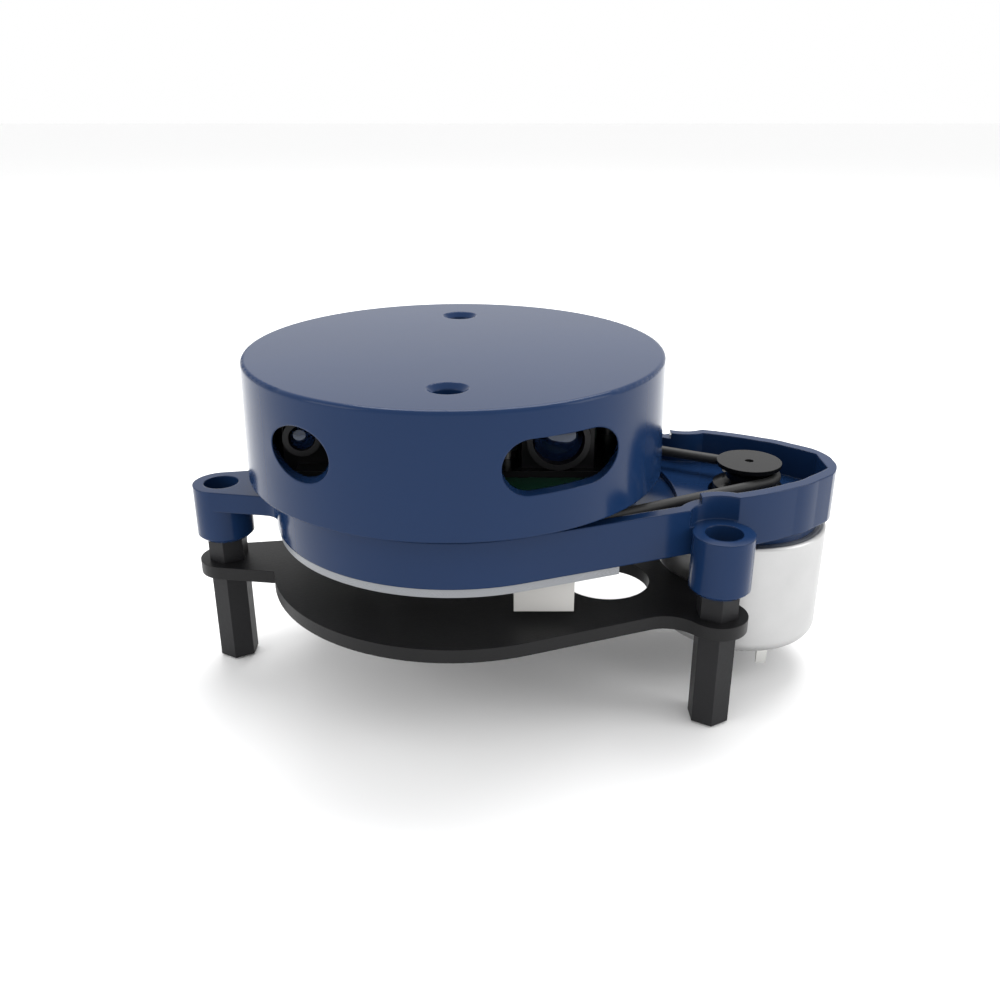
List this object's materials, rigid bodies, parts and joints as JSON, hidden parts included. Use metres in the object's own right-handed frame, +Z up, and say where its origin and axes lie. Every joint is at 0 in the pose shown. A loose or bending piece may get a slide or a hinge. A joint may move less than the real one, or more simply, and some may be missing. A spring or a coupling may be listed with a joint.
{
  "type": "lidar scanner module",
  "caption": "Belt-driven spinning laser range scanner: blue round head with two windows, offset motor and pulley, black plate, hex standoffs.",
  "frame": {"origin": "on the turning axis of the head, in the plane that the ends of the three standoffs stand on", "axes": "+Z up along the head's turning axis; +X from the head's axis to the motor's axis; +Y completes the set, so the head looks along -Y at rest"},
  "size_m": [0.1115, 0.07, 0.0577],
  "materials": {
    "blue_shell": "gloss",
    "black_nylon": "satin",
    "black_plate": "satin",
    "black_plastic": "satin",
    "belt_rubber": "matte",
    "motor_steel": "satin",
    "bearing_steel": "polished",
    "screw_steel": "satin",
    "laminated_steel": "matte",
    "magnet": "matte",
    "ferrite": "matte",
    "bronze": "satin",
    "brass": "satin",
    "copper": "satin",
    "board_white": "satin",
    "board_green": "satin",
    "socket_white": "satin",
    "chip_black": "matte",
    "cage_nylon": "satin",
    "lens_glass": "gloss",
    "filter_glass": "gloss",
    "led_plastic": "gloss"
  },
  "bodies": {
    "base": {"base_frame": "blue_shell", "control_board": "board_white", "control_board_chips": "chip_black", "board_screws": "screw_steel", "wire_socket": "socket_white", "wire_socket_pins": "brass", "data_emitter": "led_plastic", "encoder_fork": "black_plastic", "lower_coil_core": "ferrite", "lower_coil_winding": "copper", "hub_clip": "screw_steel", "bearing_inner_ring": "bearing_steel", "motor_can": "motor_steel", "motor_front_plate": "motor_steel", "motor_end_cap": "black_plastic", "motor_terminals": "screw_steel", "motor_bush": "bronze", "motor_magnets": "magnet", "motor_brushes": "bronze", "motor_screws": "screw_steel", "drive_belt": "belt_rubber", "mounting_plate": "black_plate", "hex_spacers": "black_nylon", "hex_standoffs": "black_nylon", "boss_screws": "screw_steel"},
    "head": {"head_cover": "blue_shell", "head_screws": "screw_steel", "turntable": "black_plastic", "bearing_outer_ring": "bearing_steel", "rotor_board": "board_green", "rotor_board_chips": "chip_black", "rotor_board_screws": "screw_steel", "upper_coil_core": "ferrite", "upper_coil_winding": "copper", "data_receiver": "led_plastic", "optics_bench": "black_plastic", "bench_screws": "screw_steel", "laser_barrel": "black_plastic", "laser_lens": "lens_glass", "laser_diode": "brass", "receiver_barrel": "black_plastic", "receiver_front_lens": "lens_glass", "receiver_rear_lens": "lens_glass", "infrared_filter": "filter_glass", "sensor_board": "board_green", "image_sensor": "chip_black"},
    "motor_rotor": {"motor_pulley": "black_plastic", "motor_shaft": "bearing_steel", "motor_armature": "laminated_steel", "motor_windings": "copper", "motor_commutator": "copper"},
    "bearing_cage_body": {"bearing_cage": "cage_nylon", "bearing_balls": "bearing_steel"}
  },
  "joints": [
    {"name": "head_spin", "type": "hinge", "parent": "base", "child": "head", "pos_m": [0, 0, 0.0384], "axis": [0, 0, 1], "continuous": true},
    {"name": "motor_spin", "type": "hinge", "parent": "base", "child": "motor_rotor", "pos_m": [0.0507, 0, 0.0274], "axis": [0, 0, 1], "continuous": true},
    {"name": "bearing_cage_spin", "type": "hinge", "parent": "base", "child": "bearing_cage_body", "pos_m": [0, 0, 0.0349], "axis": [0, 0, 1], "continuous": true}
  ],
  "couplings": [
    {"joint": "motor_spin", "follows": "head_spin", "ratio": 5.8298},
    {"joint": "bearing_cage_spin", "follows": "head_spin", "ratio": 0.56731}
  ]
}
